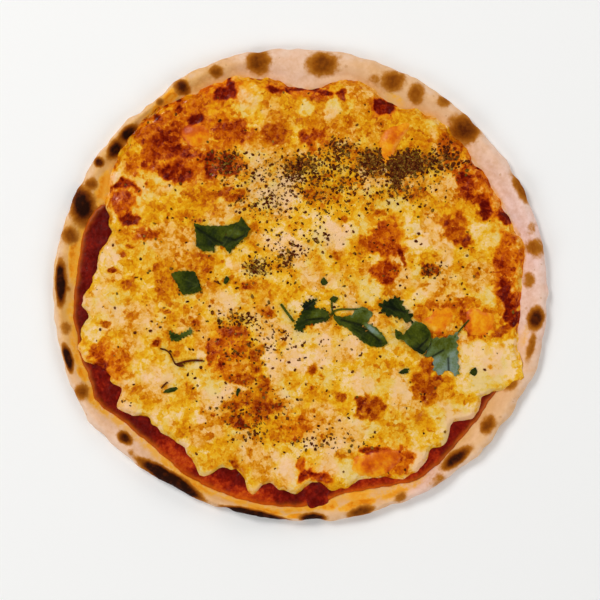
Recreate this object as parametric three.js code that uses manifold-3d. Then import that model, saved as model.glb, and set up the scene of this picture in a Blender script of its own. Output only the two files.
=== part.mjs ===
// A whole, uncut margherita pizza: thin stone-baked dough with an uneven raised rim, tomato sauce,
// melted cheese, soft pieces of tomato and parsley leaves.
// Millimetres, +Z up. The dough lies on z = 0, with the origin under the middle of its box.
// Angles are in degrees, anticlockwise from +X.

import * as THREE from 'three';
import { mergeVertices } from 'three/addons/utils/BufferGeometryUtils.js';
import Module from 'manifold-3d';

const wasm = await Module();
wasm.setup();

// Driving dimensions
const crustRadius = 148.5;
const dishRadius = 140.4;
const doughThickness = 3.6;
const rimHeight = 10.5;
const sauceThickness = 1.2;
const cheeseThickness = 2.1;
const sauceBand = 2.6;
const lapThickness = 1.6;
const leafThickness = 0.6;
const gap = 0.3;

// How finely the round shapes are faceted
const sidesRound = 112;
const slopeSteps = 5;
const edgeSteps = 7;
const cheeseRings = 10;

// Levels of the layers
const sauceBottom = doughThickness + gap;
const sauceTop = sauceBottom + sauceThickness;
const cheeseBottom = sauceTop + gap;
const cheeseLevel = cheeseBottom + cheeseThickness;

// Bulges of each outline: where, how far round they reach, and by how much they move it
const crustBulges = [
  { at: 14, spread: 30, size: 4 },
  { at: 112, spread: 22, size: 1.8 },
  { at: 129, spread: 6, size: -2.2 },
  { at: 186, spread: 41, size: 8.2 },
  { at: 214, spread: 14, size: 4.4 },
  { at: 332, spread: 37, size: 7.8 },
];
const dishBulges = [
  { at: 9, spread: 6, size: 5.6 },
  { at: 36, spread: 12, size: -3 },
  { at: 63, spread: 9, size: -10 },
  { at: 88, spread: 11, size: -14.5 },
  { at: 134, spread: 14, size: 3.6 },
  { at: 157, spread: 4, size: -5 },
  { at: 198, spread: 12, size: 5 },
  { at: 210, spread: 5, size: 5.5 },
  { at: 228, spread: 7, size: -4.5 },
  { at: 281, spread: 7, size: -4.4 },
  { at: 302, spread: 8, size: 3.6 },
  { at: 345, spread: 7, size: 4 },
];
// Where the cheese stops short of the sauce's edge, and where it runs up over the rim
const bandBulges = [
  { at: 165, spread: 5, size: 15 },
  { at: 176, spread: 7, size: 8 },
  { at: 206, spread: 6, size: 15 },
  { at: 223, spread: 5, size: 7 },
  { at: 235, spread: 6, size: 10 },
  { at: 251, spread: 6, size: 14 },
  { at: 268, spread: 7, size: 11 },
  { at: 308, spread: 5, size: 4 },
  { at: 318, spread: 4, size: 9 },
  { at: 337, spread: 5, size: -12 },
];
const rimBubbles = [
  { at: 25, spread: 12, size: 0.12 },
  { at: 58, spread: 8, size: 0.1 },
  { at: 86, spread: 10, size: 0.22 },
  { at: 142, spread: 7, size: 0.28 },
  { at: 161, spread: 6, size: 0.34 },
  { at: 197, spread: 8, size: 0.2 },
  { at: 234, spread: 9, size: -0.1 },
  { at: 262, spread: 16, size: -0.16 },
  { at: 312, spread: 10, size: 0.08 },
  { at: 350, spread: 10, size: 0.14 },
];

// Mounds and hollows of the melted cheese
const cheeseMounds = [
  { x: -40, y: -42, reach: 21, size: 1.5 },
  { x: -24, y: -76, reach: 26, size: 0.9 },
  { x: 54, y: 22, reach: 20, size: 1.1 },
  { x: 97, y: 35, reach: 16, size: 1 },
  { x: 82, y: -60, reach: 17, size: 1 },
  { x: 46, y: -76, reach: 15, size: 0.9 },
  { x: 118, y: -55, reach: 22, size: 1.2 },
  { x: 13, y: 35, reach: 24, size: 0.8 },
  { x: -107, y: 47, reach: 14, size: 1.2 },
  { x: -96, y: 31, reach: 12, size: 1 },
  { x: -112, y: -30, reach: 18, size: 0.8 },
  { x: 8, y: -112, reach: 20, size: 0.9 },
  { x: -62, y: 68, reach: 26, size: -0.8 },
  { x: 24, y: 86, reach: 26, size: 0.7 },
  { x: -70, y: -78, reach: 20, size: 0.7 },
];

// Soft pieces of tomato that lie in the cheese; `bend` curls a piece along its length
const tomatoPieces = [
  { x: 47, y: -112, length: 38, width: 17, height: 7, turn: 10, bend: 0.006 },
  { x: 87, y: -22, length: 25, width: 20, height: 7, turn: 30, bend: 0 },
  { x: 113, y: -24, length: 25, width: 19, height: 7.5, turn: -35, bend: 0 },
  { x: 57, y: 91, length: 32, width: 12, height: 6.5, turn: 62, bend: -0.022 },
  { x: -65, y: 94, length: 20, width: 15, height: 6.5, turn: -10, bend: 0 },
  { x: 10, y: -132, length: 18, width: 15, height: 6, turn: 20, bend: 0 },
];

// Parsley leaves by the corners of their outlines about their middle, anticlockwise.
// `curl` lifts the sides and `lift` raises a leaf that lies over another.
const parsleyLeaves = [
  {
    x: -49.5, y: 31, width: 24, curl: 1.2, lift: 0,
    corners: [
      [-17.4, 8], [-16.3, -6.8], [-11.4, -10.1], [-4.3, -10.1], [-3.8, -5.8], [1.1, -6.8],
      [4.9, -11.5], [9.9, -5.8], [15.9, -0.8], [18.6, 4.1], [12.6, 12.4], [10.4, 8.4], [-3.8, 6.2],
    ],
  },
  {
    x: -71.5, y: 1.3, width: 15, curl: 0.8, lift: 0,
    corners: [[-9.6, 6], [-5.2, -1.7], [-2.5, -7.3], [9.5, -4.9], [4.6, 7.3]],
  },
  {
    x: -76, y: -31, width: 10, curl: 0.6, lift: 0,
    corners: [[-7.2, 3.3], [-5.6, -3.8], [-0.7, -4.9], [8.6, 0.6], [7.5, 4.4], [-0.7, -0.2]],
  },
  {
    x: 7, y: -19, width: 22, curl: 1, lift: 0,
    corners: [
      [4.1, 11.7], [-5.7, 8.2], [-5.7, 2.8], [-10.1, -3.8], [-11.2, -8.7], [-6.2, -10.9],
      [-2.4, -6], [4.1, -5.4], [10.8, -3.8], [12, 0.6], [9, 4.1], [1.9, 4.9],
    ],
  },
  {
    x: 38, y: -26, width: 25, curl: 1, lift: 0,
    corners: [
      [-17.4, 6.5], [-14.7, 1.6], [-8.4, -0.6], [-1.8, -7.1], [4.7, -11.8], [11.8, -12.8], [16.9, -11],
      [10.7, -1.7], [3.6, 2.1], [7.4, 8.1], [2.5, 11.9], [-2.4, 11.4], [-5.6, 7], [-11.6, 5.6],
    ],
  },
  {
    x: 60, y: -15, width: 18, curl: 0, lift: 0,
    corners: [
      [-10.5, 4], [-9.6, -1.2], [-6.4, -4], [-0.9, -5.3], [5.1, -7.2], [10, -10],
      [10.8, -4.5], [5.8, 1.5], [2.9, 7.7], [-0.9, 8.6], [-4, 6.4],
    ],
  },
  {
    x: 70.5, y: -33, width: 21, curl: 0, lift: 1.4,
    corners: [
      [1.7, 10.4], [-2.7, 5.3], [-6.2, 1.3], [-10.9, 5.6], [-10.9, -0.1], [-5.4, -1.8],
      [-0.5, -6.7], [6, -10.5], [10.4, -5], [11.2, 2.6], [7.1, 8.3],
    ],
  },
  {
    x: 89, y: -43.5, width: 28, curl: 0, lift: 0,
    corners: [
      [-7.6, 10.9], [-8.1, 4.9], [-11.9, -0.5], [-4.9, -3.3], [-6.2, -9.8], [-2.7, -13.1],
      [4.4, -10.3], [7.7, -14.4], [11.3, -12.5], [10.4, -2.7], [10.4, 14.2], [0.6, 10.7],
    ],
  },
];

const materials = {
  crust: new THREE.MeshStandardMaterial({ color: 0xdcb48a, roughness: 0.85, metalness: 0 }),
  sauce: new THREE.MeshStandardMaterial({ color: 0xa32a10, roughness: 0.35, metalness: 0 }),
  cheese: new THREE.MeshStandardMaterial({ color: 0xecb84c, roughness: 0.4, metalness: 0 }),
  tomato: new THREE.MeshStandardMaterial({ color: 0xd9591a, roughness: 0.3, metalness: 0 }),
  parsley: new THREE.MeshStandardMaterial({ color: 0x35501c, roughness: 0.6, metalness: 0 }),
};

function bulgesAt(angle, bulges) {
  let sum = 0;
  for (const { at, spread, size } of bulges) {
    const away = ((angle - at + 900) % 360) - 180;
    sum += size * Math.exp(-((away / spread) ** 2));
  }
  return sum;
}

function crustEdge(angle) {
  return crustRadius + bulgesAt(angle, crustBulges);
}

function dishEdge(angle) {
  return dishRadius + bulgesAt(angle, dishBulges);
}

function cheeseEdge(angle) {
  return dishEdge(angle) - sauceBand - bulgesAt(angle, bandBulges);
}

function rimRise(angle) {
  return 1 + bulgesAt(angle, rimBubbles);
}

// Height of the rim's inner slope, `share` of the way from the dish's edge to the crest
function slopeHeight(share) {
  return doughThickness + (rimHeight - doughThickness) * THREE.MathUtils.smoothstep(share, 0, 1);
}

function crustTop(angle, radius) {
  const crest = (dishEdge(angle) + crustEdge(angle)) / 2;
  const share = (radius - dishEdge(angle)) / (crest - dishEdge(angle));
  return doughThickness + (slopeHeight(share) - doughThickness) * rimRise(angle);
}

function cheeseTop(x, y) {
  let top = cheeseLevel;
  for (const mound of cheeseMounds) {
    const away = Math.hypot(x - mound.x, y - mound.y);
    top += mound.size * Math.exp(-((away / mound.reach) ** 2));
  }
  return top;
}

// Leaves only the positions, with shared vertices merged and collapsed triangles dropped
function closed(geometry) {
  geometry.deleteAttribute('normal');
  geometry.deleteAttribute('uv');
  const merged = mergeVertices(geometry, 1e-3);
  const index = merged.index.array;
  const kept = [];
  for (let i = 0; i < index.length; i += 3) {
    const [a, b, c] = index.slice(i, i + 3);
    if (a !== b && b !== c && c !== a) {
      kept.push(a, b, c);
    }
  }
  merged.setIndex(kept);
  return merged;
}

function moveVertices(geometry, place) {
  const positions = geometry.attributes.position;
  const point = new THREE.Vector3();
  for (let i = 0; i < positions.count; i += 1) {
    point.fromBufferAttribute(positions, i);
    place(point);
    positions.setXYZ(i, point.x, point.y, point.z);
  }
}

function moveByAngle(geometry, place) {
  moveVertices(geometry, (point) => {
    const turned = Math.atan2(point.y, point.x);
    const spot = { radius: Math.hypot(point.x, point.y), z: point.z };
    place(spot, THREE.MathUtils.radToDeg(turned));
    point.set(spot.radius * Math.cos(turned), spot.radius * Math.sin(turned), spot.z);
  });
}

// A turned shape about Z from [radius, height] points that run from the bottom axis to the top one
function turned(profile) {
  const points = profile.map(([radius, height]) => new THREE.Vector2(radius, height));
  const geometry = new THREE.LatheGeometry(points, sidesRound);
  geometry.rotateX(Math.PI / 2);
  return closed(geometry);
}

function solidOf(geometry) {
  const vertProperties = new Float32Array(geometry.attributes.position.array);
  const triVerts = new Uint32Array(geometry.index.array);
  return new wasm.Manifold(new wasm.Mesh({ numProp: 3, vertProperties, triVerts }));
}

function geometryOf(solid) {
  const { vertProperties, triVerts } = solid.getMesh();
  const geometry = new THREE.BufferGeometry();
  geometry.setAttribute('position', new THREE.BufferAttribute(vertProperties, 3));
  geometry.setIndex(new THREE.BufferAttribute(triVerts, 1));
  return geometry;
}

// Flat-bottomed dough with a round outer edge, a crest half way over the rim and an inner slope
function crustGeometry() {
  const rimHalf = (crustRadius - dishRadius) / 2;
  const crest = dishRadius + rimHalf;
  const profile = [[0, 0]];
  for (let step = 0; step <= edgeSteps; step += 1) {
    const angle = THREE.MathUtils.degToRad(-62 + (152 * step) / edgeSteps);
    const foot = step === 0;
    const height = foot ? 0 : (rimHeight / 2) * (1 + Math.sin(angle));
    profile.push([crest + rimHalf * Math.cos(angle), height]);
  }
  for (let step = slopeSteps - 1; step >= 0; step -= 1) {
    const share = step / slopeSteps;
    profile.push([dishRadius + rimHalf * share, slopeHeight(share)]);
  }
  profile.push([0, doughThickness]);
  const geometry = turned(profile);
  moveByAngle(geometry, (spot, angle) => {
    const over = Math.max(0, (spot.radius - dishRadius) / (crustRadius - dishRadius));
    const inner = (Math.min(spot.radius, dishRadius) / dishRadius) * dishEdge(angle);
    spot.radius = inner + over * (crustEdge(angle) - dishEdge(angle));
    spot.z += Math.max(0, spot.z - doughThickness) * (rimRise(angle) - 1);
  });
  return geometry;
}

function sauceGeometry() {
  const geometry = turned([
    [0, sauceBottom],
    [dishRadius - gap, sauceBottom],
    [dishRadius - 2 * gap, sauceTop],
    [0, sauceTop],
  ]);
  moveByAngle(geometry, (spot, angle) => {
    spot.radius *= dishEdge(angle) / dishRadius;
  });
  return geometry;
}

function cheeseGeometry() {
  const edgeRadius = dishRadius - sauceBand;
  const roundedEdge = 0.985;
  const profile = [
    [0, cheeseBottom],
    [edgeRadius * roundedEdge, cheeseBottom],
    [edgeRadius, cheeseBottom + cheeseThickness * 0.4],
  ];
  for (let ring = cheeseRings; ring >= 0; ring -= 1) {
    profile.push([(edgeRadius * roundedEdge * ring) / cheeseRings, cheeseLevel]);
  }
  const geometry = turned(profile);
  moveByAngle(geometry, (spot, angle) => {
    const share = spot.radius / edgeRadius;
    spot.radius = share * cheeseEdge(angle);
    const x = spot.radius * Math.cos(THREE.MathUtils.degToRad(angle));
    const y = spot.radius * Math.sin(THREE.MathUtils.degToRad(angle));
    const onTop = THREE.MathUtils.smoothstep(spot.z, cheeseBottom, cheeseLevel);
    spot.z += (cheeseTop(x, y) - cheeseLevel) * onTop;
    if (spot.radius > dishEdge(angle) && onTop > 0) {
      spot.z = Math.max(spot.z, crustTop(angle, spot.radius) + lapThickness * onTop);
    }
  });
  return geometry;
}

// A soft rounded piece that sits on the sauce; `extra` makes the pocket for it in the cheese
function tomatoGeometry({ x, y, length, width, height, turn, bend }, extra) {
  const geometry = closed(new THREE.SphereGeometry(1, 14, 8));
  geometry.scale(length / 2 + extra, width / 2 + extra, height / 2 + extra);
  moveVertices(geometry, (point) => {
    point.y += bend * point.x ** 2;
  });
  geometry.rotateZ(THREE.MathUtils.degToRad(turn));
  geometry.translate(x, y, cheeseTop(x, y) + 1 - height * 0.35);
  moveVertices(geometry, (point) => {
    point.z = Math.max(point.z, cheeseBottom - extra);
  });
  return geometry;
}

// The highest cheese under a leaf's corners and middle
function leafLevel({ x, y, corners }) {
  const heights = corners.map(([across, up]) => cheeseTop(x + across, y + up));
  return Math.max(cheeseTop(x, y), ...heights);
}

function leafGeometry(leaf) {
  const shape = new THREE.Shape(leaf.corners.map(([across, up]) => new THREE.Vector2(across, up)));
  const geometry = closed(new THREE.ExtrudeGeometry(shape, { depth: leafThickness, bevelEnabled: false }));
  moveVertices(geometry, (point) => {
    point.z += leaf.curl * (point.y / (leaf.width / 2)) ** 2;
  });
  geometry.translate(leaf.x, leaf.y, leafLevel(leaf) + gap + leaf.lift);
  return geometry;
}

function addPiece(group, name, geometry, material) {
  geometry.computeVertexNormals();
  const mesh = new THREE.Mesh(geometry, material);
  mesh.name = name;
  group.add(mesh);
}

function makePizza() {
  const pizza = new THREE.Group();
  const crust = crustGeometry();
  const liftedCrust = crust.clone();
  liftedCrust.translate(0, 0, gap);
  let cheese = solidOf(cheeseGeometry()).subtract(solidOf(liftedCrust));
  for (const piece of tomatoPieces) {
    cheese = cheese.subtract(solidOf(tomatoGeometry(piece, gap)));
  }
  addPiece(pizza, 'crust', crust, materials.crust);
  addPiece(pizza, 'tomato_sauce', sauceGeometry(), materials.sauce);
  addPiece(pizza, 'melted_cheese', geometryOf(cheese), materials.cheese);
  tomatoPieces.forEach((piece, i) => {
    addPiece(pizza, `tomato_piece_${i + 1}`, tomatoGeometry(piece, 0), materials.tomato);
  });
  parsleyLeaves.forEach((leaf, i) => {
    addPiece(pizza, `parsley_leaf_${i + 1}`, leafGeometry(leaf), materials.parsley);
  });
  const middle = new THREE.Box3().setFromObject(pizza).getCenter(new THREE.Vector3());
  pizza.position.set(-middle.x, -middle.y, 0);
  return pizza;
}

const group = makePizza();

export default group;
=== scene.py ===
import math
import bmesh
import bpy
import numpy as np
from mathutils import Matrix, Vector, noise


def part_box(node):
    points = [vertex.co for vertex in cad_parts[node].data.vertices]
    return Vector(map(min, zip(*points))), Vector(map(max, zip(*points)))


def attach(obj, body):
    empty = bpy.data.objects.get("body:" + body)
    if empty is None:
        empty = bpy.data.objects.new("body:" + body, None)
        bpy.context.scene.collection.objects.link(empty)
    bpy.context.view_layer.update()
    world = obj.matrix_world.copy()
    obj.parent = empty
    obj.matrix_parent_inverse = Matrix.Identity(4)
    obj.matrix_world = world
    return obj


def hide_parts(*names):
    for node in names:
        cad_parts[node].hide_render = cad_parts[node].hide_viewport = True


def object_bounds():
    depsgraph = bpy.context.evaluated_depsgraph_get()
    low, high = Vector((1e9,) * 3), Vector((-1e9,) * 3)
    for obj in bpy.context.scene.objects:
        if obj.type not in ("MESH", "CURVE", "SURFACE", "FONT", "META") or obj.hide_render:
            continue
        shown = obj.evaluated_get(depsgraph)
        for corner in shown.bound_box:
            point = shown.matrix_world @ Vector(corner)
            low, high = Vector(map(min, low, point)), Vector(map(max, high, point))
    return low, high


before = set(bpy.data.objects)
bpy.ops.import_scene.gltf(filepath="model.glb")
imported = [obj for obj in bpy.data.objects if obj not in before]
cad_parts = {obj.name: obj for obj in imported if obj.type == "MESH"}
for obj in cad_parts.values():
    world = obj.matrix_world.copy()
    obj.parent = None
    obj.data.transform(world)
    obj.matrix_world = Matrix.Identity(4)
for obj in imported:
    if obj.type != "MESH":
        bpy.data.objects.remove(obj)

# A whole margherita pizza. Shapes are worked in millimetres and stored in metres.
mm = 0.001
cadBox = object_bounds()


def colour(red, green, blue):
    # a screen colour from 0 to 255, as the linear colour that a shader takes
    shares = [value / 255 for value in (red, green, blue)]
    return (*[s / 12.92 if s < 0.04 else ((s + 0.055) / 1.055) ** 2.4 for s in shares], 1)


def smooth(low, high, value):
    share = np.clip((value - low) / (high - low), 0, 1)
    return share * share * (3 - 2 * share)


def lumps(x, y, size, seed=0.0, z=0.0):
    # even noise from about -1 to 1, with lumps `size` mm across
    z = np.broadcast_to(z, np.shape(x))
    u, v, w = (0.8 * x + 0.6 * y) / size, (0.8 * y - 0.6 * x + 0.3 * z) / size, (0.45 * x + z) / size
    return np.array([
        noise.noise((a + seed, b - seed, c + seed * 0.5 + 0.37)) * 1.6 for a, b, c in zip(u, v, w)
    ])


def away(x, y, spot):
    # distance from the middle of an oval spot, 1 at its edge
    spotX, spotY, along, across, turn = spot[:5]
    turned = math.radians(turn)
    u = (x - spotX) * math.cos(turned) + (y - spotY) * math.sin(turned)
    v = (y - spotY) * math.cos(turned) - (x - spotX) * math.sin(turned)
    return np.hypot(u / along, v / across)


def wobbled(x, y, seed, reach):
    # the same places moved about a little, so that spots get ragged edges
    moveX = lumps(x, y, 7, seed) * reach + lumps(x, y, 2.6, seed + 3) * reach * 0.5
    moveY = lumps(x, y, 7, seed + 9) * reach + lumps(x, y, 2.6, seed + 13) * reach * 0.5
    return moveX, moveY


def spotWeight(x, y, move, spot, soft):
    # 1 inside an oval spot and 0 outside it; spots under 6 mm move less, so that they hold together
    steady = min(1, min(spot[2], spot[3]) / 6)
    return 1 - smooth(1 - soft, 1 + soft, away(x + move[0] * steady, y + move[1] * steady, spot))


def strongest(x, y, move, spots, soft):
    # how strong the strongest of several spots is at each place
    result = np.zeros(len(x))
    for spot in spots:
        result = np.maximum(result, spotWeight(x, y, move, spot, soft) * spot[5])
    return result


def bell(distance, spread):
    return np.exp(-(distance / spread) ** 2)


def turnedFrom(at, angle):
    # how far round from one direction the others are, -180 to 180 degrees
    return (np.asarray(angle) - at + 180) % 360 - 180


def polar(x, y):
    return np.degrees(np.arctan2(y, x)), np.hypot(x, y)


def fromPolar(angle, radius):
    return radius * np.cos(np.radians(angle)), radius * np.sin(np.radians(angle))


def pointsOf(mesh):
    flat = np.empty(len(mesh.vertices) * 3)
    mesh.vertices.foreach_get("co", flat)
    return flat.reshape(-1, 3) / mm


def placePoints(mesh, points):
    mesh.vertices.foreach_set("co", (points * mm).ravel())
    mesh.update()


def paint(mesh, name, values):
    layer = mesh.attributes.new(name, "FLOAT", "POINT")
    layer.data.foreach_set("value", np.clip(values, 0, 1).astype(np.float32))


def finished(mesh, name, material, slot, *nodes):
    mesh.shade_smooth()
    piece = bpy.data.objects.new(name, mesh)
    bpy.context.scene.collection.objects.link(piece)
    mesh.materials.append(material)
    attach(piece, "root")
    if nodes:
        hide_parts(*nodes)
    return piece


def meshFrom(bm, name):
    mesh = bpy.data.meshes.new(name)
    bm.to_mesh(mesh)
    bm.free()
    return mesh


def spunMesh(name, profile, steps):
    # a closed round shape from [radius, height] points that run from the bottom axis to the top one
    bm = bmesh.new()
    line = [bm.verts.new((radius * mm, 0, height * mm)) for radius, height in profile]
    edges = [bm.edges.new(pair) for pair in zip(line, line[1:])]
    bmesh.ops.spin(bm, geom=line + edges, cent=(0, 0, 0), axis=(0, 0, 1), dvec=(0, 0, 0),
                   angle=math.tau, steps=steps, use_merge=True, use_duplicate=False)
    bmesh.ops.remove_doubles(bm, verts=bm.verts, dist=0.004 * mm)
    bmesh.ops.recalc_face_normals(bm, faces=bm.faces)
    return meshFrom(bm, name)


view = {
    "width": 379.6,         # of the field, mm
    "middle": (0, -9.5),    # where the camera looks, mm
    "lens": 100,
    "floor": (250, 250, 249),
    "lights": [
        # power, size and place in metres, tint
        ("key light", 32.8, 0.8, (-1.2, 1.1, 2.05), (1, 0.99, 0.97)),
        ("fill light", 26.6, 1.8, (1.9, -1.2, 1.9), (0.99, 0.995, 1)),
        ("back light", 12, 1.2, (1.1, 1.9, 1.7), (1, 1, 1)),
        ("side light", 17.5, 1.2, (-1.9, -1.2, 1.7), (1, 1, 1)),
    ],
    "horizon": 0.55,        # brightness of the surround low down
    "overhead": 0.03,       # and straight above
    "floorSize": 4,         # half its side, metres
    "floorGap": 0.05,       # below the pizza, mm
}


def makeStage():
    scene = bpy.context.scene
    scene.view_settings.view_transform = "Standard"
    camera = bpy.data.objects.new("camera", bpy.data.cameras.new("camera"))
    camera.data.lens = view["lens"]
    height = view["width"] * mm * view["lens"] / camera.data.sensor_width
    camera.location = (view["middle"][0] * mm, view["middle"][1] * mm, height)
    scene.collection.objects.link(camera)
    scene.camera = camera
    for name, power, size, place, tint in view["lights"]:
        light = bpy.data.objects.new(name, bpy.data.lights.new(name, "AREA"))
        light.data.energy = power
        light.data.size = size
        light.data.color = tint
        light.location = place
        light.rotation_euler = (-Vector(place)).to_track_quat("-Z", "Y").to_euler()
        scene.collection.objects.link(light)
    world = bpy.data.worlds.new("studio")
    world.use_nodes = True
    nodes, links = world.node_tree.nodes, world.node_tree.links
    upward = nodes.new("ShaderNodeSeparateXYZ")
    fade = nodes.new("ShaderNodeMapRange")
    for index, value in enumerate((0.15, 0.85, view["horizon"], view["overhead"])):
        fade.inputs[index + 1].default_value = value
    links.new(nodes.new("ShaderNodeTexCoord").outputs["Generated"], upward.inputs[0])
    links.new(upward.outputs["Z"], fade.inputs[0])
    links.new(fade.outputs[0], nodes["Background"].inputs["Strength"])
    nodes["Background"].inputs["Color"].default_value = (1, 1, 1, 1)
    scene.world = world

    bm = bmesh.new()
    bmesh.ops.create_grid(bm, x_segments=1, y_segments=1, size=view["floorSize"])
    bmesh.ops.translate(bm, verts=bm.verts, vec=(0, 0, cadBox[0].z - view["floorGap"] * mm))
    mesh = meshFrom(bm, "floor")
    material = bpy.data.materials.new("pale floor")
    material.use_nodes = True
    shader = material.node_tree.nodes["Principled BSDF"]
    shader.inputs["Base Color"].default_value = colour(*view["floor"])
    shader.inputs["Roughness"].default_value = 0.9
    mesh.materials.append(material)
    floor = bpy.data.objects.new("floor", mesh)
    scene.collection.objects.link(floor)


makeStage()
print("stage made")


def feed(tree, socket, value):
    if isinstance(value, bpy.types.NodeSocket):
        tree.links.new(value, socket)
    else:
        socket.default_value = value


def addNode(tree, kind, inputs=None, **settings):
    node = tree.nodes.new("ShaderNode" + kind)
    for name, value in settings.items():
        setattr(node, name, value)
    for key, value in (inputs or {}).items():
        feed(tree, node.inputs[key], value)
    return node


def calc(tree, operation, a, b):
    return addNode(tree, "Math", {0: a, 1: b}, operation=operation).outputs[0]


def times(tree, a, b):
    return calc(tree, "MULTIPLY", a, b)


def plus(tree, a, b):
    return calc(tree, "ADD", a, b)


def varied(tree, tone, pattern, amount, middle=0.5):
    # a tone that a pattern raises and lowers by up to about half the amount
    return plus(tree, tone, times(tree, calc(tree, "SUBTRACT", pattern, middle), amount))


def mixed(tree, share, a, b):
    # 6 and 7 are a Mix node's two colours, which it has only once its data type is set
    return addNode(tree, "Mix", {0: share, 6: a, 7: b}, data_type="RGBA").outputs[2]


def stretched(tree, value, low, high, toLow=0.0, toHigh=1.0):
    # the value spread smoothly from one range over another
    node = addNode(tree, "MapRange", {0: value, 1: low, 2: high, 3: toLow, 4: toHigh},
                   interpolation_type="SMOOTHSTEP")
    return node.outputs[0]


def rampOf(tree, value, stops):
    # a ramp starts with two elements, which take the first two stops
    node = addNode(tree, "ValToRGB", {0: value})
    elements = node.color_ramp.elements
    for index, (position, tint) in enumerate(stops):
        element = elements[index] if index < 2 else elements.new(position)
        element.position = position
        element.color = tint
    return node.outputs[0]


def painted(tree, name):
    return addNode(tree, "Attribute", attribute_name=name).outputs["Fac"]


def newGroup(name, output, **inputs):
    # a group on the object's own coordinates, with Size in mm
    group = bpy.data.node_groups.new(name, "ShaderNodeTree")
    for label, value in inputs.items():
        socket = group.interface.new_socket(label, in_out="INPUT", socket_type="NodeSocketFloat")
        socket.default_value = value
    group.interface.new_socket(output, in_out="OUTPUT", socket_type="NodeSocketFloat")
    given = group.nodes.new("NodeGroupInput").outputs
    result = group.nodes.new("NodeGroupOutput").inputs[0]
    point = addNode(group, "TexCoord").outputs["Object"]
    scale = calc(group, "DIVIDE", 1000.0, given["Size"])
    return group, given, result, point, scale


def useGroup(tree, group, **values):
    node = tree.nodes.new("ShaderNodeGroup")
    node.node_tree = group
    for key, value in values.items():
        feed(tree, node.inputs[key], value)
    return node.outputs[0]


def makeMottleGroup():
    # soft uneven cloudiness; Size is the width of a patch
    group, given, result, point, scale = newGroup("mottle", "Value", Size=5, Shift=0)
    cloud = addNode(group, "TexNoise", {"Vector": point, "Scale": scale, "Detail": 3.0,
                                        "Roughness": 0.6, "W": given["Shift"]},
                    noise_dimensions="4D")
    feed(group, result, stretched(group, cloud.outputs[0], 0.3, 0.7))
    return group


def bent(tree, point, scale, detail, reach):
    # coordinates moved about a little, so that cells get uneven outlines
    bend = addNode(tree, "TexNoise", {"Vector": point, "Scale": scale, "Detail": detail})
    shift = addNode(tree, "VectorMath", {0: bend.outputs["Color"], "Scale": reach}, operation="SCALE")
    return addNode(tree, "VectorMath", {0: point, 1: shift.outputs[0]}, operation="ADD").outputs[0]


def makeSpeckGroup():
    # scattered round specks; Size is their spacing and Amount how many places have one
    group, given, result, point, scale = newGroup("specks", "Mask", Size=3, Amount=0.4, Radius=0.3)
    cells = addNode(group, "TexVoronoi", {"Vector": bent(group, point, 900.0, 1.0, 0.0012), "Scale": scale})
    pick = addNode(group, "SeparateColor", {0: cells.outputs["Color"]})
    present = calc(group, "LESS_THAN", pick.outputs[0], given["Amount"])
    reach = times(group, plus(group, 0.45, pick.outputs[1]), given["Radius"])
    inner = times(group, reach, 0.55)
    near = stretched(group, cells.outputs["Distance"], inner, reach, 1.0, 0.0)
    feed(group, result, times(group, near, present))
    return group


def makeCurdGroup():
    # clots of melted cheese, each a little different
    group, _, result, point, scale = newGroup("curds", "Value", Size=5)
    moved = bent(group, point, 420.0, 2.0, 0.004)
    cells = addNode(group, "TexVoronoi", {"Vector": moved, "Scale": scale, "Smoothness": 0.12},
                    feature="SMOOTH_F1")
    pick = addNode(group, "SeparateColor", {0: cells.outputs["Color"]})
    feed(group, result, pick.outputs[0])
    return group


def makeGrainGroup():
    # fine uneven relief of baked or melted food
    group, given, result, point, scale = newGroup("baked grain", "Height", Size=2, Pits=0.3)
    grain = addNode(group, "TexNoise", {"Vector": point, "Scale": scale, "Detail": 5.0, "Roughness": 0.62})
    pits = addNode(group, "TexVoronoi", {"Vector": point, "Scale": scale}, feature="SMOOTH_F1")
    depth = times(group, stretched(group, pits.outputs["Distance"], 0.0, 0.45), given["Pits"])
    feed(group, result, plus(group, grain.outputs[0], depth))
    return group


mottle = makeMottleGroup()
specks = makeSpeckGroup()
curds = makeCurdGroup()
bakedGrain = makeGrainGroup()


def newMaterial(name, **plain):
    material = bpy.data.materials.new(name)
    material.use_nodes = True
    tree = material.node_tree
    shader = tree.nodes["Principled BSDF"]
    for key, value in plain.items():
        shader.inputs[key.replace("_", " ")].default_value = value
    return material, tree, shader


def addBump(tree, shader, height, strength, distance):
    bump = addNode(tree, "Bump", {"Strength": strength, "Distance": distance * mm, "Height": height})
    tree.links.new(bump.outputs[0], shader.inputs["Normal"])


def outlineOf(node, sectors=112):
    # the furthest point of a round layer in each direction, as radius by degree
    x, y, _ = pointsOf(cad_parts[node].data).T
    angle, distance = polar(x, y)
    sector = np.round(angle % 360 * sectors / 360).astype(int) % sectors
    radius = np.zeros(sectors)
    np.maximum.at(radius, sector, distance)
    degrees = np.arange(sectors) * 360 / sectors
    return lambda at: np.interp(np.asarray(at) % 360, degrees, radius, period=360)


crustEdge = outlineOf("crust")
sauceEdge = outlineOf("tomato_sauce")
cheeseNodeEdge = outlineOf("melted_cheese")
sauceLow, sauceHigh = (corner.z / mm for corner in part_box("tomato_sauce"))
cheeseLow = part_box("melted_cheese")[0].z / mm


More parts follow.
